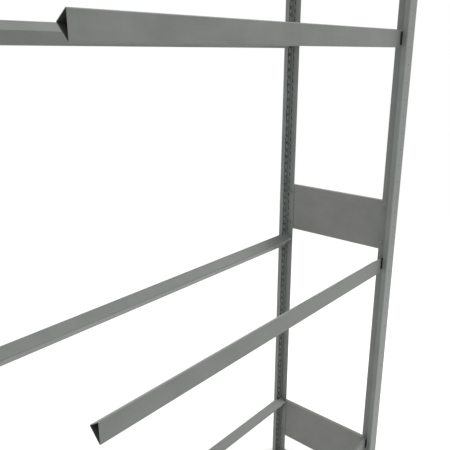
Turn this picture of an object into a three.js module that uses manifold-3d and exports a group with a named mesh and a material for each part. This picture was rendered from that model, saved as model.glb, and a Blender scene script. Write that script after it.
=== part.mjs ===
// Add-on bay of a boltless tyre rack, in millimetres, +Z up.
// One end frame of two T-section posts and three side panels carries six triangular
// beams, a front and a rear one at each level. The beams run along -X and end open.
// The origin is on the floor, under the middle of the overall box.
import * as THREE from 'three';
import { mergeVertices } from 'three/addons/utils/BufferGeometryUtils.js';
import Module from 'manifold-3d';

const wasm = await Module();
wasm.setup();

// ---- driving dimensions -------------------------------------------------------

// end frame
const frameHeight = 2100;
const frameDepth = 430; // outer face to outer face of the two posts
const contactGap = 0.3; // left between two pieces that touch
const cutOverlap = 1; // how far a cutting shape runs past what it cuts

// post: a front plate with a lip down each side and a stem from its middle
const postWidth = 48;
const postDepth = 45; // outer face to free edge of the stem
const postSheet = 2;
const lipDepth = 15;
const bendRadius = 3; // outside of each lip's fold

// perforation of the post
const slotPitch = 25;
const slotHeight = 14;
const slotEndMargin = 18; // least from a slot's middle to the post's end
const hookSlotWidth = 6;
const hookSlotInset = 22; // middle of the slot, from the post's outer face
const accessorySlotWidth = 8;
const accessorySlotInset = 9;
const faceHoleDiameter = 4;
const faceHoleEverySlots = 2; // one face hole for this many slots
const faceHoleDrop = 16.5; // from a hook slot's middle down to a face hole
const faceHoleSeat = 0.3; // how far a face hole bites into the stem behind it

// foot plate under each post
const footWidth = 70;
const footDepth = 60;
const footThickness = 4;
const anchorHoleDiameter = 9;
const anchorHoleSide = 12; // from the stem's middle plane
const anchorHoleInset = 30; // from the post's outer face

// beams: a triangular tube, upright face outwards, the two slopes meeting inwards
const beamLength = 1113;
// its height and depth run to where the faces would meet if the corners were sharp
const beamHeight = 54;
const beamDepth = 30.5;
const beamApexHeight = 32.5; // above the beam's lower corner
const beamWall = 1.5;
const beamCornerRadius = 2;
const beamFaceBeforeHook = 4.5; // upright face to the middle of the hook slots
const beamEndGap = 8.5; // tube's end to the post's side plane
const levelCount = 3;
const lowestLevelAbovePanel = 129; // lowest beams' lower corner, from the lowest panel's edge
const levelPitchInSlots = 28;

// connector: a V-shaped spigot in the tube's end, with a hooked end plate
const spigotClearance = 0.3;
const spigotSheet = 2;
const spigotReach = 60; // inside the tube
const endPlateHeadRoom = 0.8; // end plate's thickness beyond a panel bolt's head
const endPlateBoltGap = 1; // end plate's edge to a panel bolt's head
const hookSideClearance = 1; // hook to slot, each side
const hookLipDrop = 6;
const hookLipThickness = 3;
const hookPlay = 0.4; // left above and below the hook when it is lifted to the slot's edge
const hookRise = 20.5; // beam's lower corner to the middle of the lower hook's slot

// side panels: a web with a flange along its upper and lower edge
const panelHeight = 164;
const panelSheet = 1.5;
const panelFlange = 14;
const panelOverlap = 14; // on the stem, at each end
const panelCount = 3;
const lowestPanel = 103; // lower edge of the lowest panel
const panelTopMargin = 33; // upper edge of the highest panel to the post's top
const panelBoltInset = 25; // from the panel's upper and lower edge
const panelFlangeRadius = 2.5; // outside of each flange's fold

// bolts and nuts of the side panels
const boltDiameter = 6;
const boltHoleClearance = 0.8;
const boltHeadDiameter = 12;
const boltHeadHeight = 2.2;
const boltTipPastNut = 1.5;
const nutAcrossFlats = 10;
const nutHeight = 5;
const nutFlangeDiameter = 13;
const nutFlangeThickness = 1.2;
const nutBoreClearance = 0.4; // on the bolt's radius

// roundness
const smallHoleSides = 6;
const boltSides = 8;
const cornerSteps = 3;

// ---- derived places -----------------------------------------------------------

const postTopHeight = frameHeight - footThickness - contactGap;
const stemFace = postSheet / 2; // from the stem's middle plane
const lowestLevel = lowestPanel + lowestLevelAbovePanel;
const levelPitch = levelPitchInSlots * slotPitch;
const slotPhase = (lowestLevel + hookRise) % slotPitch;
const beamInset = hookSlotInset - beamFaceBeforeHook;
const beamMiddleX = -(postWidth / 2 + beamEndGap + beamLength / 2);
const overallLeft = -(postWidth / 2 + beamEndGap + beamLength);
const overallRight = Math.max(footWidth, postWidth) / 2;
const panelRun = frameHeight - panelTopMargin - panelHeight - lowestPanel;
const panelPitch = panelRun / (panelCount - 1);
const panelFaceX = stemFace + contactGap;
const panelEndInset = postDepth - panelOverlap;
const panelBoltPlace = postDepth - panelOverlap / 2;
const nutFaceX = panelFaceX + panelSheet + contactGap;
const boltHoleDiameter = boltDiameter + boltHoleClearance;
const endPlateThickness = boltHeadHeight + endPlateHeadRoom;
const endPlateReach = panelBoltPlace - boltHeadDiameter / 2 - endPlateBoltGap;
const hookThickness = hookSlotWidth - 2 * hookSideClearance;
const hookNeckHeight = slotHeight - hookLipDrop - 2 * contactGap - hookPlay;

// ---- materials ----------------------------------------------------------------

const paint = (colour) =>
  new THREE.MeshStandardMaterial({ color: colour, roughness: 0.5, metalness: 0.2 });
const zinc = () =>
  new THREE.MeshStandardMaterial({ color: '#9a9d9c', roughness: 0.4, metalness: 0.9 });

// ---- solids -------------------------------------------------------------------

function solidOf(geometry) {
  const bare = geometry.clone();
  bare.deleteAttribute('normal');
  bare.deleteAttribute('uv');
  const merged = mergeVertices(bare);
  return new wasm.Manifold(new wasm.Mesh({
    numProp: 3,
    vertProperties: new Float32Array(merged.attributes.position.array),
    triVerts: new Uint32Array(merged.index.array),
  }));
}

function geometryOf(solid) {
  const mesh = solid.getMesh();
  const geometry = new THREE.BufferGeometry();
  geometry.setAttribute('position', new THREE.BufferAttribute(mesh.vertProperties, 3));
  geometry.setIndex(new THREE.BufferAttribute(mesh.triVerts, 1));
  geometry.computeVertexNormals();
  return geometry;
}

const joined = (solids) => solids.reduce((whole, next) => whole.add(next));

// A box between two corners.
function boxSolid([x0, y0, z0], [x1, y1, z1]) {
  const geometry = new THREE.BoxGeometry(x1 - x0, y1 - y0, z1 - z0);
  return solidOf(geometry.translate((x0 + x1) / 2, (y0 + y1) / 2, (z0 + z1) / 2));
}

// A round bar along one axis, from one place on it to another.
function barSolid(diameter, sides, axis, from, to, [x, y, z]) {
  const radius = diameter / 2;
  const geometry = new THREE.CylinderGeometry(radius, radius, to - from, sides);
  geometry.translate(0, (from + to) / 2, 0);
  if (axis === 'x') geometry.rotateZ(-Math.PI / 2);
  if (axis === 'z') geometry.rotateX(Math.PI / 2);
  return solidOf(geometry.translate(x, y, z));
}

// An outline whose corners that carry a radius are rounded with an arc.
function roundedOutline(corners) {
  const places = corners.map(([x, y]) => new THREE.Vector2(x, y));
  return corners.flatMap(([, , radius = 0], i) => {
    const here = places[i];
    if (radius === 0) return [here];
    const back = places.at(i - 1).clone().sub(here).normalize();
    const ahead = places[(i + 1) % places.length].clone().sub(here).normalize();
    const halfAngle = Math.acos(back.dot(ahead)) / 2;
    const centre = back.clone().add(ahead).setLength(radius / Math.sin(halfAngle)).add(here);
    const spoke = here.clone().addScaledVector(back, radius / Math.tan(halfAngle)).sub(centre);
    const turn = Math.sign(ahead.cross(back)) * (Math.PI - 2 * halfAngle);
    return Array.from({ length: cornerSteps + 1 }, (_, step) =>
      spoke.clone().rotateAround(new THREE.Vector2(), turn * step / cornerSteps).add(centre));
  });
}

// An outline in X and Y, drawn out along Z from zero.
function uprightSolid(corners, height) {
  const shape = new THREE.Shape(roundedOutline(corners));
  return solidOf(new THREE.ExtrudeGeometry(shape, { depth: height, bevelEnabled: false }));
}

// An outline in Y and Z, drawn out along X between two places.
function levelSolid(corners, x0, x1) {
  const shape = new THREE.Shape(roundedOutline(corners));
  const geometry = new THREE.ExtrudeGeometry(shape, { depth: x1 - x0, bevelEnabled: false });
  const turn = new THREE.Matrix4().makeBasis(
    new THREE.Vector3(0, 1, 0), new THREE.Vector3(0, 0, 1), new THREE.Vector3(1, 0, 0));
  return solidOf(geometry.applyMatrix4(turn).translate(x0, 0, 0));
}

// An outline in X and Z, drawn out along Y between two places.
function crossSolid(corners, y0, y1) {
  const shape = new THREE.Shape(roundedOutline(corners));
  const geometry = new THREE.ExtrudeGeometry(shape, { depth: y1 - y0, bevelEnabled: false });
  return solidOf(geometry.rotateX(Math.PI / 2).translate(0, y1, 0));
}

// ---- assembly helpers ---------------------------------------------------------

const rack = new THREE.Group();
const frame = new THREE.Group();
frame.position.set(-(overallLeft + overallRight) / 2, 0, 0);
rack.add(frame);

function addPiece(parent, name, geometry, material, place = [0, 0, 0], turnZ = 0) {
  const mesh = new THREE.Mesh(geometry, material);
  mesh.name = name;
  mesh.position.set(...place);
  mesh.rotation.z = turnZ;
  parent.add(mesh);
}

// The front half faces -Y; the rear half is the same thing turned about.
const sides = [
  { name: 'front', sign: 1, turn: 0 },
  { name: 'rear', sign: -1, turn: Math.PI },
];
// A place given from a post's outer face, in the frame's own Y.
const fromOuterFace = (side, inset) => side.sign * (inset - frameDepth / 2);

const panelNames = ['lower', 'middle', 'upper'].slice(0, panelCount);
const panels = panelNames.map((name, i) => ({ name, bottom: lowestPanel + i * panelPitch }));
const panelBoltHeights = ({ bottom }) => [
  { name: 'bottom', z: bottom + panelBoltInset },
  { name: 'top', z: bottom + panelHeight - panelBoltInset },
];

// ---- posts --------------------------------------------------------------------

// Drawn with the outer face on y = 0 and the stem's middle plane on x = 0.
function postGeometry() {
  const half = postWidth / 2;
  const inner = half - postSheet;
  const innerRadius = bendRadius - postSheet;
  const body = uprightSolid([
    [-half, 0, bendRadius],
    [half, 0, bendRadius],
    [half, lipDepth],
    [inner, lipDepth],
    [inner, postSheet, innerRadius],
    [stemFace, postSheet],
    [stemFace, postDepth],
    [-stemFace, postDepth],
    [-stemFace, postSheet],
    [-inner, postSheet, innerRadius],
    [-inner, lipDepth],
    [-half, lipDepth],
  ], postTopHeight);

  const bottom = frameHeight - postTopHeight;
  const cuts = [];
  const stemSlot = (inset, width, z) => boxSolid(
    [-stemFace - cutOverlap, inset - width / 2, z - slotHeight / 2],
    [stemFace + cutOverlap, inset + width / 2, z + slotHeight / 2]);
  const firstSlot = Math.ceil((slotEndMargin - slotPhase) / slotPitch);
  const lastSlot = Math.floor((frameHeight - slotEndMargin - slotPhase) / slotPitch);
  const firstLevelSlot = Math.round((lowestLevel + hookRise - slotPhase) / slotPitch);
  for (let i = firstSlot; i <= lastSlot; i += 1) {
    const z = slotPhase + i * slotPitch - bottom;
    cuts.push(stemSlot(hookSlotInset, hookSlotWidth, z));
    cuts.push(stemSlot(accessorySlotInset, accessorySlotWidth, z));
    if ((i - firstLevelSlot) % faceHoleEverySlots === 0) {
      cuts.push(barSolid(faceHoleDiameter, smallHoleSides, 'y',
        -cutOverlap, postSheet + faceHoleSeat, [0, 0, z - faceHoleDrop]));
    }
  }
  for (const panel of panels) {
    for (const { z } of panelBoltHeights(panel)) {
      cuts.push(barSolid(boltHoleDiameter, boltSides, 'x',
        -stemFace - cutOverlap, stemFace + cutOverlap, [0, panelBoltPlace, z - bottom]));
    }
  }
  return geometryOf(body.subtract(joined(cuts)));
}

const post = postGeometry();
for (const side of sides) {
  const place = [0, fromOuterFace(side, 0), frameHeight - postTopHeight];
  addPiece(frame, `${side.name}_post`, post, paint('#868985'), place, side.turn);
}

// ---- foot plates --------------------------------------------------------------

function footPlateGeometry() {
  const plate = uprightSolid([
    [-footWidth / 2, 0, bendRadius],
    [footWidth / 2, 0, bendRadius],
    [footWidth / 2, footDepth, bendRadius],
    [-footWidth / 2, footDepth, bendRadius],
  ], footThickness);
  const holes = [-1, 1].map((hand) => barSolid(anchorHoleDiameter, boltSides, 'z',
    -cutOverlap, footThickness + cutOverlap, [hand * anchorHoleSide, anchorHoleInset, 0]));
  return geometryOf(plate.subtract(joined(holes)));
}

const footPlate = footPlateGeometry();
for (const side of sides) {
  const place = [0, fromOuterFace(side, 0), 0];
  addPiece(frame, `${side.name}_foot_plate`, footPlate, paint('#7d807d'), place, side.turn);
}

// ---- side panels with their bolts and nuts ------------------------------------

function panelGeometry() {
  const outer = panelFaceX;
  const inner = outer + panelSheet;
  const edge = outer + panelFlange;
  const innerRadius = panelFlangeRadius - panelSheet;
  const channel = crossSolid([
    [outer, 0, panelFlangeRadius],
    [edge, 0],
    [edge, panelSheet],
    [inner, panelSheet, innerRadius],
    [inner, panelHeight - panelSheet, innerRadius],
    [edge, panelHeight - panelSheet],
    [edge, panelHeight],
    [outer, panelHeight, panelFlangeRadius],
  ], panelEndInset - frameDepth / 2, frameDepth / 2 - panelEndInset);
  const holes = sides.flatMap((side) => panelBoltHeights({ bottom: 0 }).map(({ z }) =>
    barSolid(boltHoleDiameter, boltSides, 'x', outer - cutOverlap, inner + cutOverlap,
      [0, fromOuterFace(side, panelBoltPlace), z])));
  return geometryOf(channel.subtract(joined(holes)));
}

// Drawn along X: the head on the stem's near side, the shank through stem, panel and nut.
function boltGeometry() {
  const headFace = -stemFace - contactGap;
  const tip = nutFaceX + nutHeight + boltTipPastNut;
  const rim = boltHeadDiameter / 2;
  const profile = [
    [0, headFace - tip],
    [boltDiameter / 2, headFace - tip],
    [boltDiameter / 2, 0],
    [rim, 0],
    [rim, boltHeadHeight * 0.3],
    [rim * 0.7, boltHeadHeight * 0.85],
    [0, boltHeadHeight],
  ];
  const turned = new THREE.LatheGeometry(
    profile.map(([radius, along]) => new THREE.Vector2(radius, along)), boltSides);
  return geometryOf(solidOf(turned.rotateZ(Math.PI / 2).translate(headFace, 0, 0)));
}

function nutGeometry() {
  const radius = nutAcrossFlats / 2 / Math.cos(Math.PI / 6);
  const hex = new THREE.CylinderGeometry(radius, radius, nutHeight, 6).rotateZ(-Math.PI / 2);
  const body = solidOf(hex.translate(nutFaceX + nutHeight / 2, 0, 0));
  const flange = barSolid(nutFlangeDiameter, boltSides, 'x',
    nutFaceX, nutFaceX + nutFlangeThickness, [0, 0, 0]);
  const bore = barSolid(boltDiameter + 2 * nutBoreClearance, boltSides, 'x',
    nutFaceX - cutOverlap, nutFaceX + nutHeight + cutOverlap, [0, 0, 0]);
  return geometryOf(body.add(flange).subtract(bore));
}

const panelSheetMetal = panelGeometry();
const bolt = boltGeometry();
const nut = nutGeometry();
for (const panel of panels) {
  addPiece(frame, `${panel.name}_side_panel`, panelSheetMetal, paint('#777872'),
    [0, 0, panel.bottom]);
  for (const side of sides) {
    for (const height of panelBoltHeights(panel)) {
      const place = [0, fromOuterFace(side, panelBoltPlace), height.z];
      const name = `${panel.name}_panel_${side.name}_${height.name}`;
      addPiece(frame, `${name}_bolt`, bolt, zinc(), place);
      addPiece(frame, `${name}_nut`, nut, zinc(), place);
    }
  }
}

// ---- beams and their connectors -----------------------------------------------

// The beam's triangle in Y and Z, moved inwards by a distance: each edge shifts in
// parallel, so the corners run towards the middle of the inscribed circle.
function beamOutline(side, inwards, radius) {
  const corners = [[0, 0], [beamDepth, beamApexHeight], [0, beamHeight]]
    .map(([y, z]) => new THREE.Vector2(y, z));
  const opposite = corners.map((_, i) => corners[(i + 1) % 3].distanceTo(corners[(i + 2) % 3]));
  const around = opposite.reduce((sum, edge) => sum + edge);
  const middle = corners.reduce((sum, corner, i) =>
    sum.addScaledVector(corner, opposite[i] / around), new THREE.Vector2());
  const inscribed = beamHeight * beamDepth / around;
  const share = 1 - inwards / inscribed;
  return corners.map((corner) => {
    const moved = corner.clone().sub(middle).multiplyScalar(share).add(middle);
    return [fromOuterFace(side, beamInset + moved.x), moved.y, radius];
  });
}

function beamGeometry(side) {
  const x0 = beamMiddleX - beamLength / 2;
  const x1 = beamMiddleX + beamLength / 2;
  const tube = levelSolid(beamOutline(side, 0, beamCornerRadius), x0, x1);
  const hollow = levelSolid(beamOutline(side, beamWall, beamCornerRadius - beamWall),
    x0 - cutOverlap, x1 + cutOverlap);
  return geometryOf(tube.subtract(hollow));
}

// A box between two insets from a post's outer face.
function insetBox(side, x0, x1, inset0, inset1, z0, z1) {
  const [y0, y1] = [inset0, inset1].map((inset) => fromOuterFace(side, inset))
    .sort((a, b) => a - b);
  return boxSolid([x0, y0, z0], [x1, y1, z1]);
}

// The lowest and highest place of the spigot's sharp outline at an inset.
function spigotSpan(inset) {
  const [low, apex, high] = beamOutline(sides[0], beamWall + spigotClearance, 0)
    .map(([y, z]) => [y + frameDepth / 2, z]);
  const at = (corner) =>
    corner[1] + (apex[1] - corner[1]) * (inset - corner[0]) / (apex[0] - corner[0]);
  return [at(low), at(high)];
}

// The spigot's upright side is left open; its two slopes stop at the end plate.
function connectorGeometry(side) {
  const x0 = beamMiddleX + beamLength / 2 - spigotReach;
  const x1 = -stemFace - contactGap;
  const plateX = x1 - endPlateThickness;
  const outerInset = beamWall + spigotClearance;
  const innerInset = outerInset + spigotSheet;
  const outline = beamOutline(side, outerInset, beamCornerRadius - beamWall);
  const hollow = levelSolid(beamOutline(side, innerInset, 0), x0 - cutOverlap, x1 + cutOverlap);
  const open = insetBox(side, x0 - cutOverlap, x1 + cutOverlap,
    beamInset, beamInset + innerInset + contactGap, -cutOverlap, beamHeight + cutOverlap);
  const slopes = levelSolid(outline, x0, plateX + contactGap).subtract(hollow).subtract(open);
  const plate = levelSolid(outline, plateX, x1).intersect(insetBox(side, plateX, x1,
    beamInset, endPlateReach, 0, beamHeight));

  const hookNear = hookSlotInset - hookThickness / 2;
  const hookFar = hookSlotInset + hookThickness / 2;
  const lipNear = stemFace + contactGap;
  const lipFar = lipNear + hookLipThickness;
  const [lowest, highest] = spigotSpan(hookFar);
  const hooks = [];
  for (let rise = hookRise; rise < beamHeight; rise += slotPitch) {
    const neckBottom = rise - slotHeight / 2 + contactGap;
    const neckTop = neckBottom + hookNeckHeight;
    if (neckBottom > lowest && neckTop < highest) {
      hooks.push(insetBox(side, plateX, lipFar, hookNear, hookFar, neckBottom, neckTop));
      hooks.push(insetBox(side, lipNear, lipFar, hookNear, hookFar,
        neckBottom - hookLipDrop, neckTop));
    }
  }
  return geometryOf(joined([slopes, plate, ...hooks]));
}

for (const side of sides) {
  const tube = beamGeometry(side);
  const connector = connectorGeometry(side);
  for (let level = 1; level <= levelCount; level += 1) {
    const place = [0, 0, lowestLevel + (level - 1) * levelPitch];
    addPiece(frame, `level_${level}_${side.name}_beam`, tube, paint('#82857f'), place);
    addPiece(frame, `level_${level}_${side.name}_connector`, connector, paint('#74777a'), place);
  }
}

export default rack;
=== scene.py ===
"""Looks of an add-on bay of a boltless tyre rack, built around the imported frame.

One end frame of two perforated T-posts and three side panels carries six hollow triangular
beams. Every piece is folded sheet steel or tube with a grey powder coat; the side panels'
bolts and nuts are zinc plated.
"""

import math

import bmesh
import bpy
from mathutils import Matrix, Vector


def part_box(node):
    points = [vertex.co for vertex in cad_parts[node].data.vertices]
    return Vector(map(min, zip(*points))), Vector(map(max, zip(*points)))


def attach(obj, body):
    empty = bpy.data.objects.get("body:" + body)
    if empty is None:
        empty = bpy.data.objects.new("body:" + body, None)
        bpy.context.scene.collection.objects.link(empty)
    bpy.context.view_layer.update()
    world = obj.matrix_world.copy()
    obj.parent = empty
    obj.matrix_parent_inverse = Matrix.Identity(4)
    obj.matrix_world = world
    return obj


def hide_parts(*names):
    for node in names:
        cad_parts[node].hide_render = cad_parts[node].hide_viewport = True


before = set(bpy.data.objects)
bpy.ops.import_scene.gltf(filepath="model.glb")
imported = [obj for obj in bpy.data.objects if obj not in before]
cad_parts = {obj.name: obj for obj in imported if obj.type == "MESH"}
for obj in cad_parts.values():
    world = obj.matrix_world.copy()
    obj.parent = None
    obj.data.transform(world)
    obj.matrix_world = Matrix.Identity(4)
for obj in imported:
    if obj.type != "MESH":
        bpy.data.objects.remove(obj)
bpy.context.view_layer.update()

MM = 0.001
SIDES = ("front", "rear")
LEVELS = (1, 2, 3)
PANELS = ("lower", "middle", "upper")

# ---- sizes, in metres ---------------------------------------------------------

POST_SHEET = 2 * MM
LIP_DEPTH = 15 * MM
BEND_RADIUS = 3 * MM  # outside of a lip's fold
STEM_ROOT_SINK = 0.4 * MM  # how far the stem's root sits in the face's sheet

SLOT_PITCH = 25 * MM
SLOT_END_ROOM = 18 * MM  # least from a slot's middle to the post's end
SLOT_HEIGHT = 14 * MM
SLOT_CORNER = 1.5 * MM
HOOK_SLOT = (22 * MM, 6 * MM)  # inset of the slot's middle and its width
ACCESSORY_SLOT = (9 * MM, 8 * MM)
FACE_HOLE_DIAMETER = 4 * MM
FACE_HOLE_DROP = 16.5 * MM  # below every second hook slot's middle
BOLT_HOLE_DIAMETER = 6.8 * MM
BOLT_EDGE_ROOM = 7 * MM  # from a bolt hole's middle to the stem's inner edge
SEAM_ROOM = 0.5 * MM  # least between a bolt hole and a seam of the stem's strips
PANEL_BOLT_INSET = 25 * MM  # from a panel's edge

BEAM_WALL = 1.5 * MM
BEAM_CORNER = 2.35 * MM  # the bevel then leaves the section that a 2 mm radius does
BEAM_SECTION = (54 * MM, 30.5 * MM, 32.5 * MM)  # height, depth and apex height, if sharp
SPIGOT_CLEARANCE = 0.3 * MM
SPIGOT_SHEET = 2 * MM
SPIGOT_RIDGE_RADIUS = 2.2 * MM
SPIGOT_EDGE_ROOM = 1.2  # of the walls' thickness, between the slopes' edges and the corners
END_PLATE_SHEET = 3 * MM
END_PLATE_REACH = 31 * MM  # from the post's outer face
END_PLATE_CORNER = 0.5 * MM
HOOK_RISES = (20.5 * MM, 45.5 * MM)  # slots' middles above the beam's lower corner
HOOK_THICKNESS = 4 * MM
HOOK_NECK = 7 * MM
HOOK_LIP_DROP = 6 * MM
HOOK_LIP_SHEET = 3 * MM
HOOK_INNER_RADIUS = 0.6 * MM
HOOK_OUTER_RADIUS = 1.2 * MM
GAP = 0.3 * MM  # between pieces that touch

PANEL_SHEET = 1.5 * MM
PANEL_FOLD_RADIUS = 2.5 * MM

ANCHOR_HOLE_DIAMETER = 9 * MM
ANCHOR_HOLE_SIDE = 12 * MM
ANCHOR_HOLE_INSET = 30 * MM

BOLT_DIAMETER = 6 * MM
BOLT_HEAD_HEIGHT = 2.2 * MM
BOLT_DOME_SHARE = 0.75  # of the head's height, above its straight rim
BOLT_DOME_STEPS = 6
THREAD_PITCH = 1 * MM
THREAD_DEPTH = 0.5 * MM
THREAD_TURNS = 9
NUT_ACROSS_FLATS = 10 * MM
NUT_FLANGE_HEIGHT = 1.2 * MM
NUT_FLANGE_TOP = 0.96  # the flange's radius at its top, of the hexagon's
NUT_BORE_CLEARANCE = 0.4 * MM
NUT_CHAMFER = 0.5 * MM

ARC_STEPS = 6
SMALL_HOLE_STEPS = 20
ANCHOR_HOLE_STEPS = 32
NUT_BORE_STEPS = 24
SHEET_EDGE = 0.25 * MM  # how far the powder rounds a sheet's cut edge
PLATE_EDGE = 0.4 * MM
TUBE_EDGE = 0.3 * MM
BOLT_EDGE = 0.12 * MM
LEAST_SHARP = math.radians(50)
MOST_SMOOTH = math.radians(35)
MERGE = 1e-6  # places nearer than this are one
INWARD_LOOK = 0.3  # least that a face inside a tube looks at the tube's middle
PAINTED_SHADE_ATTRIBUTE = "inside"  # the attribute that is 1 on the faces inside a tube, where shade is painted

# ---- places from the frame ----------------------------------------------------

post_low, post_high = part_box("front_post")
STEM_X = (post_low.x + post_high.x) / 2
POST_HALF = (post_high.x - post_low.x) / 2
POST_DEPTH = post_high.y - post_low.y
FRONT_FACE = post_low.y
TO_FRONT = Matrix.Translation((STEM_X, FRONT_FACE, 0))
TO_REAR = Matrix.Scale(-1, 4, (0, 1, 0)) @ TO_FRONT
PLACE = {"front": TO_FRONT, "rear": TO_REAR}

# ---- shaping ------------------------------------------------------------------


def soften(bm, width=SHEET_EDGE, segments=2):
    """Rounds every sharp edge, as a powder coat does."""
    sharp = [edge for edge in bm.edges
             if len(edge.link_faces) == 2 and edge.calc_face_angle() > LEAST_SHARP]
    bmesh.ops.bevel(bm, geom=sharp, offset=width, offset_type="OFFSET", affect="EDGES",
                    segments=segments, profile=0.5, material=-1, clamp_overlap=True)


def outline_face(bm, corners, to_space):
    """One flat face; a corner is (across, up) or (across, up, radius)."""
    places = [Vector(to_space(across, up)) for across, up, *_ in corners]
    verts = [bm.verts.new(place) for place in places]
    bm.faces.new(verts)
    for i, (_, _, *radius) in enumerate(corners):
        if radius and radius[0]:
            back = places[i - 1] - places[i]
            ahead = places[(i + 1) % len(places)] - places[i]
            bmesh.ops.bevel(
                bm, geom=[verts[i]], offset=radius[0] / math.tan(back.angle(ahead) / 2),
                offset_type="ABSOLUTE", affect="VERTICES", segments=ARC_STEPS, profile=0.5,
                material=-1)
    return bm.faces[:]


def xy(z):
    """A level plane, as places from (across, up)."""
    return lambda across, up: (across, up, z)


def yz(x):
    """A plane across the beams."""
    return lambda across, up: (x, across, up)


def xz(y):
    """A plane along the beams."""
    return lambda across, up: (across, y, up)


def pulled(bm, faces, move):
    """Draws faces out into a solid."""
    grown = bmesh.ops.extrude_face_region(bm, geom=faces, use_keep_orig=True)["geom"]
    moved = [item for item in grown if isinstance(item, bmesh.types.BMVert)]
    bmesh.ops.translate(bm, verts=moved, vec=Vector(move))
    bmesh.ops.recalc_face_normals(bm, faces=bm.faces[:])


def rim_of(bm, corners, to_space):
    """The closed edge loop of an outline, with no face in it."""
    before = set(bm.edges)
    scrap = bmesh.new()
    outline_face(scrap, corners, to_space)
    bmesh.ops.delete(scrap, geom=scrap.faces[:], context="FACES_ONLY")
    add_mesh(bm, scrap)
    return [edge for edge in bm.edges if edge not in before]


def ring_of(bm, steps, radius, place):
    """A new circle's edges, each once and in order."""
    ring = bmesh.ops.create_circle(bm, segments=steps, radius=radius, matrix=place)
    return list(dict.fromkeys(edge for vert in ring["verts"] for edge in vert.link_edges))


def add_mesh(bm, other):
    """Adds another bmesh's shape and frees it."""
    mesh = bpy.data.meshes.new("shape")
    other.to_mesh(mesh)
    other.free()
    bm.from_mesh(mesh)
    bpy.data.meshes.remove(mesh)


def slot_corners(middle, width, height_at):
    """A slot's four rounded corners around a middle."""
    left, right = middle - width / 2, middle + width / 2
    low, high = height_at - SLOT_HEIGHT / 2, height_at + SLOT_HEIGHT / 2
    return [(left, low, SLOT_CORNER), (right, low, SLOT_CORNER),
            (right, high, SLOT_CORNER), (left, high, SLOT_CORNER)]


def perforated(bm, box, to_space, axis, slots=(), holes=()):
    """A flat strip of one sheet with slots and round holes through it."""
    left, right, low, high = box
    edges = rim_of(bm, [(left, low), (right, low), (right, high), (left, high)], to_space)
    for middle, width, height_at in slots:
        edges += rim_of(bm, slot_corners(middle, width, height_at), to_space)
    for middle, height_at, diameter in holes:
        place = (Matrix.Translation(to_space(middle, height_at))
                 @ Matrix.Rotation(math.pi / 2, 4, axis))
        edges += ring_of(bm, SMALL_HOLE_STEPS, diameter / 2, place)
    bmesh.ops.triangle_fill(bm, use_beauty=True, edges=edges)


def edges_at(bm, axis, place):
    """The outer edges that lie all along a place on an axis."""
    return [edge for edge in bm.edges
            if all(abs(vert.co[axis] - place) < MERGE for vert in edge.verts)]


def fold(bm, edges, centre, axis, angle, flat):
    """Folds a sheet's edge round a centre line, then runs it on flat."""
    verts = list(dict.fromkeys(vert for edge in edges for vert in edge.verts))
    bent = bmesh.ops.spin(bm, geom=verts + edges, cent=centre, axis=axis, angle=angle,
                          steps=ARC_STEPS, use_duplicate=False)["geom_last"]
    ends = [item for item in bent if isinstance(item, bmesh.types.BMEdge)]
    drawn = bmesh.ops.extrude_edge_only(bm, edges=ends)["geom"]
    moved = [item for item in drawn if isinstance(item, bmesh.types.BMVert)]
    bmesh.ops.translate(bm, verts=moved, vec=Vector(flat))


def thicken(bm, sheet, outwards, outer_face_at):
    """Turns a surface's faces outwards and gives it its sheet thickness inwards."""
    bmesh.ops.remove_doubles(bm, verts=bm.verts[:], dist=MERGE)
    bmesh.ops.recalc_face_normals(bm, faces=bm.faces[:])
    telling = min(bm.faces, key=lambda face: (face.calc_center_median() - outer_face_at).length)
    if telling.normal.dot(Vector(outwards)) < 0:
        bmesh.ops.reverse_faces(bm, faces=bm.faces[:])
    bmesh.ops.solidify(bm, geom=bm.faces[:], thickness=sheet)


def mark_painted_shade_faces(bm):
    """Marks the faces of a tube along X that look at its own middle, which get the painted shade
    of the hollow.
    """
    layer = bm.faces.layers.float.new(PAINTED_SHADE_ATTRIBUTE)
    middle = sum((vert.co for vert in bm.verts), Vector()) / len(bm.verts)
    for face in bm.faces:
        inwards = middle - face.calc_center_median()
        inwards.x = 0
        looks = face.normal.dot(inwards.normalized())
        face[layer] = 1.0 if looks > INWARD_LOOK else 0.0


def turned(bm, profile, steps=32):
    """A profile of (radius, along) spun about X into a closed shape."""
    verts = [bm.verts.new((along, 0, radius)) for radius, along in profile]
    edges = [bm.edges.new(pair) for pair in zip(verts, verts[1:] + verts[:1])
             if pair[0].co.z + pair[1].co.z > 0]
    bmesh.ops.spin(bm, geom=verts + edges, cent=(0, 0, 0), axis=(1, 0, 0), angle=math.tau,
                   steps=steps, use_merge=True)
    bmesh.ops.remove_doubles(bm, verts=bm.verts[:], dist=MERGE)
    bmesh.ops.recalc_face_normals(bm, faces=bm.faces[:])


def add_piece(bm, node, body, material, place=Matrix.Identity(4)):
    """Makes the finished piece that stands for a CAD node."""
    bmesh.ops.transform(bm, matrix=place, verts=bm.verts[:])
    if place.determinant() < 0:
        bmesh.ops.reverse_faces(bm, faces=bm.faces[:])
    mesh = bpy.data.meshes.new(f"{node}_finished")
    bm.to_mesh(mesh)
    bm.free()
    mesh.shade_smooth()
    mesh.set_sharp_from_angle(angle=MOST_SMOOTH)
    mesh.materials.append(material)
    piece = bpy.data.objects.new(f"{node}_finished", mesh)
    bpy.context.scene.collection.objects.link(piece)
    flat_shading = piece.modifiers.new("flat_sheet_normals", "WEIGHTED_NORMAL")
    flat_shading.keep_sharp = True
    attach(piece, body)
    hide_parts(node)


# ---- camera, floor and light --------------------------------------------------

VIEW_FROM = Vector((-1.0889, -0.9339, 1.6214))
VIEW_TURN = 0.8537  # radians, from straight across the beams towards the end frame
VIEW_DROP = 0.2987  # radians, below level
LENS = 44.84
SENSOR = 36.0

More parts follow.
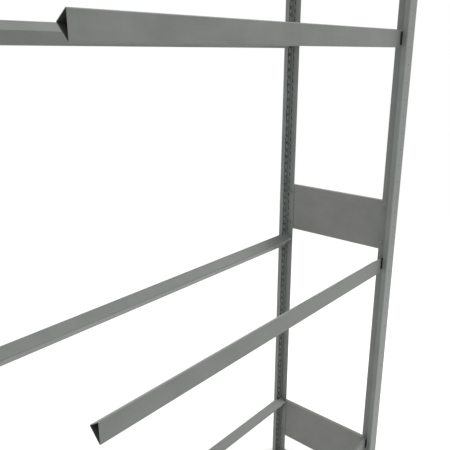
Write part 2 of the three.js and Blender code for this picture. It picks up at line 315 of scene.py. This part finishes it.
FLOOR_RADIUS = 30.0
FLOOR_FADE = (2.2, 5.5)  # the floor turns into plain white between these distances
LIGHT_AIM = Vector((0.3, 0.0, 1.0))
LIGHTS = {  # offset from the aim, diameter and watts
    "key": ((-0.9, -2.0, 4.2), 3.5, 68),
    "sheen": ((2.7, -1.9, 3.7), 3.0, 105),
}


def add_camera():
    """Looks across the bay to the end frame, from in front of the beams' free ends."""
    data = bpy.data.cameras.new("camera")
    data.lens = LENS
    data.sensor_width = SENSOR
    data.clip_start = 0.01
    camera = bpy.data.objects.new("camera", data)
    camera.location = VIEW_FROM
    camera.rotation_euler = (math.pi / 2 - VIEW_DROP, 0, -VIEW_TURN)
    bpy.context.scene.collection.objects.link(camera)
    bpy.context.scene.camera = camera


# ---- materials ----------------------------------------------------------------

DRAW_STRETCH = 0.04  # draw lines are 25 times as long as they are wide


def linear(hex_colour):
    """An sRGB hex colour as linear red, green, blue and alpha."""
    parts = [int(hex_colour[i:i + 2], 16) / 255 for i in (1, 3, 5)]
    return [c / 12.92 if c <= 0.04045 else ((c + 0.055) / 1.055) ** 2.4 for c in parts] + [1.0]


def per_size(size_mm):
    """A pattern's scale for features of one size, in millimetres."""
    return 1000 / size_mm


def add_node(tree, kind, inputs=None, **settings):
    """Adds a node with its settings; an input takes a value or another node's output."""
    made = tree.nodes.new(kind)
    for name, value in settings.items():
        setattr(made, name, value)
    for name, value in (inputs or {}).items():
        if isinstance(value, bpy.types.NodeSocket):
            tree.links.new(value, made.inputs[name])
        else:
            made.inputs[name].default_value = value
    return made


def new_material(name):
    material = bpy.data.materials.new(name)
    material.use_nodes = True
    material.node_tree.nodes.clear()
    return material


def powder_coat(name, light_tint, dark_tint, drawn_along, painted_shade_tint=None):
    """Satin polyester powder coat on steel: a soft orange peel in a grey that drifts a little
    lighter and darker, with faint draw lines of the rolled sheet under it. A tube's inside
    takes a darker tint, which is painted shade in the tube's hollow."""
    material = new_material(name)
    tree = material.node_tree
    place = add_node(tree, "ShaderNodeTexCoord").outputs["Object"]
    stretch = [1.0, 1.0, 1.0]
    stretch[drawn_along] = DRAW_STRETCH
    drawn = add_node(tree, "ShaderNodeMapping", {"Vector": place, "Scale": stretch})

    drift = add_node(tree, "ShaderNodeTexNoise",
                     {"Vector": place, "Scale": per_size(90), "Detail": 3.0, "Roughness": 0.6})
    lines = add_node(tree, "ShaderNodeTexNoise",
                     {"Vector": drawn.outputs[0], "Scale": per_size(5), "Detail": 4.0})
    fleck = add_node(tree, "ShaderNodeTexNoise",
                     {"Vector": place, "Scale": per_size(1.6), "Detail": 2.0})
    drift_spread = add_node(tree, "ShaderNodeMapRange",
                            {"Value": drift.outputs["Fac"], "From Min": 0.3, "From Max": 0.7})
    body = add_node(tree, "ShaderNodeMix",
                    {0: drift_spread.outputs[0], 6: linear(dark_tint), 7: linear(light_tint)},
                    data_type="RGBA")
    shade = add_node(tree, "ShaderNodeMapRange",
                     {"Value": lines.outputs["Fac"], "From Min": 0.35, "From Max": 0.65,
                      "To Min": 0.975, "To Max": 1.025})
    grain = add_node(tree, "ShaderNodeMapRange",
                     {"Value": fleck.outputs["Fac"], "From Min": 0.3, "From Max": 0.7,
                      "To Min": 0.97, "To Max": 1.03})
    tone = add_node(tree, "ShaderNodeMath", {0: shade.outputs[0], 1: grain.outputs[0]},
                    operation="MULTIPLY")
    coat = body.outputs[2]
    # painted shade: the faces inside a tube take a darker tint for the shade in its hollow
    if painted_shade_tint:
        inside = add_node(tree, "ShaderNodeAttribute", attribute_name=PAINTED_SHADE_ATTRIBUTE)
        coat = add_node(tree, "ShaderNodeMix",
                        {0: inside.outputs["Fac"], 6: coat, 7: linear(painted_shade_tint)},
                        data_type="RGBA").outputs[2]
    toned = add_node(tree, "ShaderNodeVectorMath",
                     {0: coat, "Scale": tone.outputs[0]}, operation="SCALE")

    rough = add_node(tree, "ShaderNodeMapRange",
                     {"Value": drift.outputs["Fac"], "From Min": 0.3, "From Max": 0.7,
                      "To Min": 0.38, "To Max": 0.47})
    peel = add_node(tree, "ShaderNodeTexNoise",
                    {"Vector": place, "Scale": per_size(2.4), "Detail": 2.0})
    peel_bump = add_node(tree, "ShaderNodeBump",
                         {"Height": peel.outputs["Fac"], "Strength": 0.25, "Distance": 0.08 * MM})
    line_bump = add_node(tree, "ShaderNodeBump",
                         {"Height": lines.outputs["Fac"], "Strength": 0.2, "Distance": 0.1 * MM,
                          "Normal": peel_bump.outputs[0]})
    shader = add_node(tree, "ShaderNodeBsdfPrincipled",
                      {"Base Color": toned.outputs[0], "Roughness": rough.outputs[0],
                       "IOR": 1.5, "Normal": line_bump.outputs[0]})
    add_node(tree, "ShaderNodeOutputMaterial", {"Surface": shader.outputs[0]})
    return material


def zinc_plate(name):
    """Bright zinc plate, passivated: a metal with cloudy grey patches and a fine grain,
    which is drawn coarser than it is, so that it shows."""
    material = new_material(name)
    tree = material.node_tree
    place = add_node(tree, "ShaderNodeTexCoord").outputs["Object"]
    cloud = add_node(tree, "ShaderNodeTexNoise",
                     {"Vector": place, "Scale": per_size(7), "Detail": 3.0})
    ramp = add_node(tree, "ShaderNodeValToRGB", {"Fac": cloud.outputs["Fac"]})
    ramp.color_ramp.elements[0].position = 0.35
    ramp.color_ramp.elements[0].color = linear("#636567")
    ramp.color_ramp.elements[1].position = 0.65
    ramp.color_ramp.elements[1].color = linear("#7c7e7e")
    rough = add_node(tree, "ShaderNodeMapRange",
                     {"Value": cloud.outputs["Fac"], "To Min": 0.3, "To Max": 0.5})
    grain = add_node(tree, "ShaderNodeTexNoise",
                     {"Vector": place, "Scale": per_size(0.6), "Detail": 2.0})
    bump = add_node(tree, "ShaderNodeBump",
                    {"Height": grain.outputs["Fac"], "Strength": 0.3, "Distance": 0.03 * MM})
    shader = add_node(tree, "ShaderNodeBsdfPrincipled",
                      {"Base Color": ramp.outputs[0], "Metallic": 1.0,
                       "Roughness": rough.outputs[0], "Normal": bump.outputs[0]})
    add_node(tree, "ShaderNodeOutputMaterial", {"Surface": shader.outputs[0]})
    return material


def floor_white(name):
    """Matt white studio floor that turns into plain white far from the rack."""
    material = new_material(name)
    tree = material.node_tree
    place = add_node(tree, "ShaderNodeTexCoord").outputs["Object"]
    distance = add_node(tree, "ShaderNodeVectorMath", {0: place}, operation="LENGTH")
    fade = add_node(tree, "ShaderNodeMapRange",
                    {"Value": distance.outputs["Value"], "From Min": FLOOR_FADE[0],
                     "From Max": FLOOR_FADE[1]}, interpolation_type="SMOOTHSTEP")
    soft = add_node(tree, "ShaderNodeTexNoise",
                    {"Vector": place, "Scale": per_size(600), "Detail": 1.0})
    rough = add_node(tree, "ShaderNodeMapRange",
                     {"Value": soft.outputs["Fac"], "To Min": 0.85, "To Max": 0.95})
    matt = add_node(tree, "ShaderNodeBsdfPrincipled",
                    {"Base Color": linear("#f4f4f3"), "Roughness": rough.outputs[0],
                     "Specular IOR Level": 0.0})
    plain = add_node(tree, "ShaderNodeEmission", {"Color": linear("#ffffff"), "Strength": 1.0})
    mixed = add_node(tree, "ShaderNodeMixShader",
                     {0: fade.outputs[0], 1: matt.outputs[0], 2: plain.outputs[0]})
    add_node(tree, "ShaderNodeOutputMaterial", {"Surface": mixed.outputs[0]})
    return material


def add_floor():
    """One round floor that is wider than any view."""
    bm = bmesh.new()
    bmesh.ops.create_circle(bm, cap_ends=True, segments=64, radius=FLOOR_RADIUS)
    mesh = bpy.data.meshes.new("floor")
    bm.to_mesh(mesh)
    bm.free()
    mesh.materials.append(floor_white("studio_floor_matt_white"))
    floor = bpy.data.objects.new("floor", mesh)
    bpy.context.scene.collection.objects.link(floor)


def add_soft_light(name, offset, size, energy):
    """A round soft light that looks at the rack's middle."""
    data = bpy.data.lights.new(name, "AREA")
    data.shape = "DISK"
    data.size = size
    data.energy = energy
    light = bpy.data.objects.new(name, data)
    light.location = LIGHT_AIM + Vector(offset)
    light.rotation_euler = (-Vector(offset)).to_track_quat("-Z", "Y").to_euler()
    bpy.context.scene.collection.objects.link(light)


def add_light():
    """An even white surround and two wide soft lights, high in front and high on the right."""
    world = bpy.data.worlds.new("studio")
    world.use_nodes = True
    world.node_tree.nodes["Background"].inputs["Color"].default_value = linear("#ffffff")
    world.node_tree.nodes["Background"].inputs["Strength"].default_value = 1.0
    bpy.context.scene.world = world
    for name, light in LIGHTS.items():
        add_soft_light(name, *light)
    bpy.context.scene.view_settings.view_transform = "Standard"


add_camera()
add_floor()
add_light()

post_paint = powder_coat("powder_coated_post", "#686c69", "#5e625f", 2)
panel_paint = powder_coat("powder_coated_panel", "#6a6b67", "#616360", 1)
# the beams' darker tint inside the tube is painted shade in the hollow
beam_paint = powder_coat("powder_coated_beam", "#636663", "#595d59", 0, painted_shade_tint="#3c3d3c")
connector_paint = powder_coat("powder_coated_connector", "#5f6365", "#565a5c", 0)
foot_paint = powder_coat("powder_coated_foot", "#646764", "#5b5e5b", 1)
bolt_zinc = zinc_plate("zinc_plated_bolt")

# ---- posts --------------------------------------------------------------------


def bolt_heights():
    """Heights of every side-panel bolt, from the panels' edges."""
    heights = []
    for name in PANELS:
        low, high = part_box(f"{name}_side_panel")
        heights += [low.z + PANEL_BOLT_INSET, high.z - PANEL_BOLT_INSET]
    return heights


def slot_heights(every=1):
    """Heights of the slots' middles, in step with the ones that the lowest hooks use."""
    hook_height = lower_corner(1) + HOOK_RISES[0]
    pitch = every * SLOT_PITCH
    below = math.floor((hook_height - SLOT_END_ROOM) / pitch)
    above = math.floor((post_high.z - SLOT_END_ROOM - hook_height) / pitch + MERGE)
    return [hook_height + step * pitch for step in range(-below, above + 1)]


def add_face(bm):
    """The post's face with its row of holes, and a lip folded back down each side."""
    flat_half = POST_HALF - BEND_RADIUS
    holes = [height - FACE_HOLE_DROP for height in slot_heights(every=2)]
    seams = [post_low.z] + [height + SLOT_PITCH for height in holes[:-1]] + [post_high.z]
    for low, high, hole in zip(seams, seams[1:], holes):
        perforated(bm, (-flat_half, flat_half, low, high), xz(0), "X",
                   holes=[(0, hole, FACE_HOLE_DIAMETER)])
    bmesh.ops.remove_doubles(bm, verts=bm.verts[:], dist=MERGE)
    for hand in (-1, 1):
        fold(bm, edges_at(bm, 0, hand * flat_half), (hand * flat_half, BEND_RADIUS, 0),
             (0, 0, 1), hand * math.pi / 2, (0, LIP_DEPTH - BEND_RADIUS, 0))
    thicken(bm, POST_SHEET, (0, -1, 0), Vector((0, 0, post_high.z / 2)))
    soften(bm)


def add_stem(bm):
    """The post's stem with its two rows of slots and the panels' bolt holes."""
    root = POST_SHEET - STEM_ROOT_SINK
    bolt_inset = POST_DEPTH - BOLT_EDGE_ROOM
    bolt_room = BOLT_HOLE_DIAMETER / 2 + SEAM_ROOM
    slots = slot_heights()
    seams = [post_low.z, slots[0] - SLOT_PITCH / 2]
    seams += [height + SLOT_PITCH / 2 for height in slots] + [post_high.z]
    seams = [seam for seam in seams
             if all(abs(seam - bolt) > bolt_room for bolt in bolt_heights())]
    for low, high in zip(seams, seams[1:]):
        inside = [height for height in slots if low < height < high]
        perforated(bm, (root, POST_DEPTH, low, high), yz(-POST_SHEET / 2), "Y",
                   slots=[(*row, height) for height in inside
                          for row in (HOOK_SLOT, ACCESSORY_SLOT)],
                   holes=[(bolt_inset, bolt, BOLT_HOLE_DIAMETER) for bolt in bolt_heights()
                          if low < bolt < high])
    bmesh.ops.remove_doubles(bm, verts=bm.verts[:], dist=MERGE)
    pulled(bm, bm.faces[:], (POST_SHEET, 0, 0))
    soften(bm)


def make_posts():
    """A face and a stem for each side; the rear post is the front one mirrored."""
    for side in SIDES:
        bm = bmesh.new()
        add_face(bm)
        stem = bmesh.new()
        add_stem(stem)
        add_mesh(bm, stem)
        add_piece(bm, f"{side}_post", "frame", post_paint, PLACE[side])


# ---- foot plates --------------------------------------------------------------


def make_feet():
    """A plate with two anchor holes and rounded corners under each post."""
    low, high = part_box("front_foot_plate")
    half, depth, sheet = (high.x - low.x) / 2, high.y - low.y, high.z - low.z
    for side in SIDES:
        bm = bmesh.new()
        edges = rim_of(bm, [(-half, 0, BEND_RADIUS), (half, 0, BEND_RADIUS),
                            (half, depth, BEND_RADIUS), (-half, depth, BEND_RADIUS)], xy(0))
        for hand in (-1, 1):
            place = Matrix.Translation((hand * ANCHOR_HOLE_SIDE, ANCHOR_HOLE_INSET, 0))
            edges += ring_of(bm, ANCHOR_HOLE_STEPS, ANCHOR_HOLE_DIAMETER / 2, place)
        bmesh.ops.triangle_fill(bm, use_beauty=True, edges=edges)
        pulled(bm, bm.faces[:], (0, 0, sheet))
        soften(bm, PLATE_EDGE)
        add_piece(bm, f"{side}_foot_plate", "frame", foot_paint, PLACE[side])


# ---- side panels --------------------------------------------------------------


def make_panels():
    """A flat sheet on the stems' far side, with a flange folded back along both long edges."""
    for name in PANELS:
        low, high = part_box(f"{name}_side_panel")
        flange = high.x - low.x
        bm = bmesh.new()
        bolt_inset = FRONT_FACE + POST_DEPTH - BOLT_EDGE_ROOM
        holes = [(hand * bolt_inset, height, BOLT_HOLE_DIAMETER) for hand in (-1, 1)
                 for height in (low.z + PANEL_BOLT_INSET, high.z - PANEL_BOLT_INSET)]
        flat_low, flat_high = low.z + PANEL_FOLD_RADIUS, high.z - PANEL_FOLD_RADIUS
        perforated(bm, (low.y, high.y, flat_low, flat_high), yz(low.x), "Y", holes=holes)
        for height, turn in ((flat_low, -1), (flat_high, 1)):
            fold(bm, edges_at(bm, 2, height), (low.x + PANEL_FOLD_RADIUS, 0, height),
                 (0, 1, 0), turn * math.pi / 2, (flange - PANEL_FOLD_RADIUS, 0, 0))
        thicken(bm, PANEL_SHEET, (-1, 0, 0), Vector((low.x, 0, (low.z + high.z) / 2)))
        soften(bm)
        add_piece(bm, f"{name}_side_panel", "frame", panel_paint)


# ---- bolts and nuts -----------------------------------------------------------


def bolt_profile(length, head_radius, head_height):
    """A mushroom head and a threaded shank, from the dome's top to the tip."""
    turn = math.pi / 2 / BOLT_DOME_STEPS
    dome_height = head_height * BOLT_DOME_SHARE
    dome = [(head_radius * math.sin(step * turn), dome_height * (1 - math.cos(step * turn)))
            for step in range(BOLT_DOME_STEPS + 1)]
    shank = BOLT_DIAMETER / 2
    profile = dome + [(head_radius, head_height), (shank, head_height)]
    along = length - THREAD_TURNS * THREAD_PITCH
    while along < length - THREAD_PITCH:
        profile += [(shank, along), (shank - THREAD_DEPTH, along + THREAD_PITCH / 2)]
        along += THREAD_PITCH
    return profile + [(shank - THREAD_DEPTH, length), (0, length)]


def make_bolts_and_nuts():
    """One bolt and one flange nut in each corner of each side panel."""
    for name in PANELS:
        for side in SIDES:
            for end in ("bottom", "top"):
                node = f"{name}_panel_{side}_{end}"
                low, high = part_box(f"{node}_bolt")
                middle = (low + high) / 2
                bm = bmesh.new()
                turned(bm, bolt_profile(high.x - low.x, (high.z - low.z) / 2,
                                        BOLT_HEAD_HEIGHT))
                soften(bm, BOLT_EDGE, 1)
                add_piece(bm, f"{node}_bolt", "frame", bolt_zinc,
                          Matrix.Translation((low.x, middle.y, middle.z)))

                low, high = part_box(f"{node}_nut")
                middle = (low + high) / 2
                bm = bmesh.new()
                add_nut(bm, (high.z - low.z) / 2, high.x - low.x)
                add_piece(bm, f"{node}_nut", "frame", bolt_zinc,
                          Matrix.Translation((low.x, middle.y, middle.z)))


def add_nut(bm, flange_radius, height):
    """A hexagon with a flange at its foot and a bore through both."""
    bore = BOLT_DIAMETER / 2 + NUT_BORE_CLEARANCE
    hexagon = NUT_ACROSS_FLATS / math.sqrt(3)
    flange_rim = NUT_FLANGE_HEIGHT / 2
    flange_top = NUT_FLANGE_HEIGHT + NUT_CHAMFER
    turned(bm, [(bore, 0), (flange_radius, 0), (flange_radius, flange_rim),
                (hexagon * NUT_FLANGE_TOP, flange_top), (bore, flange_top)])
    prism = bmesh.new()
    turn = Matrix.Rotation(math.pi / 2, 4, "Y")
    rims = []
    for along, radius, sides in ((flange_rim, hexagon, 6), (height - NUT_CHAMFER, hexagon, 6),
                                 (height, hexagon - NUT_CHAMFER, 6),
                                 (height, bore, NUT_BORE_STEPS),
                                 (flange_rim, bore, NUT_BORE_STEPS)):
        place = Matrix.Translation((along, 0, 0)) @ turn
        rims.append(ring_of(prism, sides, radius, place))
    for rim, following in zip(rims, rims[1:] + rims[:1]):
        bmesh.ops.bridge_loops(prism, edges=rim + following)
    bmesh.ops.recalc_face_normals(prism, faces=prism.faces[:])
    add_mesh(bm, prism)


# ---- beams and their connectors -----------------------------------------------

BEAM_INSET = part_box("level_1_front_beam")[0].y - FRONT_FACE


def section(inwards, radius, lower):
    """The beam's triangle across and up, moved inwards in parallel; lower is its own height."""
    height, depth, apex = BEAM_SECTION
    corners = [Vector((0, 0)), Vector((depth, apex)), Vector((0, height))]
    opposite = [(corners[i - 2] - corners[i - 1]).length for i in range(3)]
    middle = sum((corner * edge for corner, edge in zip(corners, opposite)), Vector((0, 0)))
    middle /= sum(opposite)
    share = 1 - inwards * sum(opposite) / (height * depth)
    moved = [middle + (corner - middle) * share for corner in corners]
    return [(BEAM_INSET + corner.x, lower + corner.y, radius) for corner in moved]


def lower_corner(level):
    """Height of the beam's sharp lower corner, from its rounded section's middle."""
    scrap = bmesh.new()
    outline_face(scrap, section(0, BEAM_CORNER, 0), yz(0))
    heights = [vert.co.z for vert in scrap.verts]
    scrap.free()
    low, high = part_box(f"level_{level}_front_beam")
    return (low.z + high.z - min(heights) - max(heights)) / 2


def make_beams():
    """Hollow triangular tubes, cut plain at both ends."""
    for level in LEVELS:
        lower = lower_corner(level)
        for side in SIDES:
            low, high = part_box(f"level_{level}_{side}_beam")
            bm = bmesh.new()
            faces = outline_face(bm, section(0, BEAM_CORNER, lower), yz(low.x - STEM_X))
            inner = bmesh.ops.inset_region(bm, faces=faces, thickness=BEAM_WALL,
                                           use_boundary=True, use_even_offset=True)["faces"]
            hollow = [face for face in bm.faces if face not in inner]
            bmesh.ops.delete(bm, geom=hollow, context="FACES_KEEP_BOUNDARY")
            pulled(bm, bm.faces[:], (high.x - low.x, 0, 0))
            soften(bm, TUBE_EDGE)
            # marks the faces inside the tube, which get painted shade
            mark_painted_shade_faces(bm)
            add_piece(bm, f"level_{level}_{side}_beam", f"level_{level}_{side}",
                      beam_paint, PLACE[side])


def add_hook(bm, plate_x, middle_inset, slot_height):
    """A hook through a slot: a neck from the end plate and a lip hanging behind the stem."""
    neck_low = slot_height - SLOT_HEIGHT / 2 + GAP
    neck_high = neck_low + HOOK_NECK
    lip_low = neck_low - HOOK_LIP_DROP
    lip_near = POST_SHEET / 2 + GAP
    lip_far = lip_near + HOOK_LIP_SHEET
    shape = bmesh.new()
    faces = outline_face(shape, [
        (plate_x, neck_low), (lip_near, neck_low), (lip_near, lip_low, HOOK_INNER_RADIUS),
        (lip_far, lip_low, HOOK_OUTER_RADIUS), (lip_far, neck_high, HOOK_OUTER_RADIUS),
        (plate_x, neck_high)], xz(middle_inset - HOOK_THICKNESS / 2))
    pulled(shape, faces, (0, HOOK_THICKNESS, 0))
    soften(shape)
    add_mesh(bm, shape)


def add_spigot(bm, start, end, lower):
    """A sheet folded to a ridge that follows the tube's two slopes from inside."""
    outer = BEAM_WALL + SPIGOT_CLEARANCE
    bottom, apex, top = [Vector(corner[:2]) for corner in section(outer, 0, lower)]
    cut = (SPIGOT_SHEET + outer + GAP) / BEAM_SECTION[1] * SPIGOT_EDGE_ROOM
    low_edge, high_edge = bottom.lerp(apex, cut), top.lerp(apex, cut)
    verts = [bm.verts.new((start, *place)) for place in (low_edge, apex, high_edge)]
    for pair in zip(verts, verts[1:]):
        bm.edges.new(pair)
    drawn = bmesh.ops.extrude_edge_only(bm, edges=bm.edges[:])["geom"]
    moved = [item for item in drawn if isinstance(item, bmesh.types.BMVert)]
    bmesh.ops.translate(bm, verts=moved, vec=Vector((end - start, 0, 0)))
    ridge = [edge for edge in bm.edges if len(edge.link_faces) == 2]
    bmesh.ops.bevel(bm, geom=ridge, offset=SPIGOT_RIDGE_RADIUS, offset_type="OFFSET",
                    affect="EDGES", segments=ARC_STEPS, profile=0.5, material=-1)
    thicken(bm, SPIGOT_SHEET, (0, 0, 1), Vector((start, *high_edge)))
    soften(bm)


def add_end_plate(bm, plate_x, lower):
    """A plate of the tube's inner outline, cut short of its apex, along the stem."""
    outer = BEAM_WALL + SPIGOT_CLEARANCE
    plate = bmesh.new()
    faces = outline_face(plate, section(outer, END_PLATE_CORNER, lower), yz(plate_x))
    bmesh.ops.bisect_plane(plate, geom=plate.verts[:] + plate.edges[:] + faces,
                           plane_co=(0, END_PLATE_REACH, 0), plane_no=(0, 1, 0),
                           clear_outer=True)
    pulled(plate, plate.faces[:], (END_PLATE_SHEET, 0, 0))
    soften(plate)
    add_mesh(bm, plate)


def make_connectors():
    """A folded spigot in the tube's end, and an end plate with two hooks on the stem."""
    plate_x = -POST_SHEET / 2 - GAP - END_PLATE_SHEET
    for level in LEVELS:
        lower = lower_corner(level)
        for side in SIDES:
            node = f"level_{level}_{side}_connector"
            bm = bmesh.new()
            add_spigot(bm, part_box(node)[0].x - STEM_X, plate_x + GAP, lower)
            add_end_plate(bm, plate_x, lower)
            for rise in HOOK_RISES:
                add_hook(bm, plate_x + GAP, HOOK_SLOT[0], lower + rise)
            add_piece(bm, node, f"level_{level}_{side}", connector_paint,
                      PLACE[side])


make_posts()
make_feet()
make_panels()
make_bolts_and_nuts()
make_beams()
make_connectors()
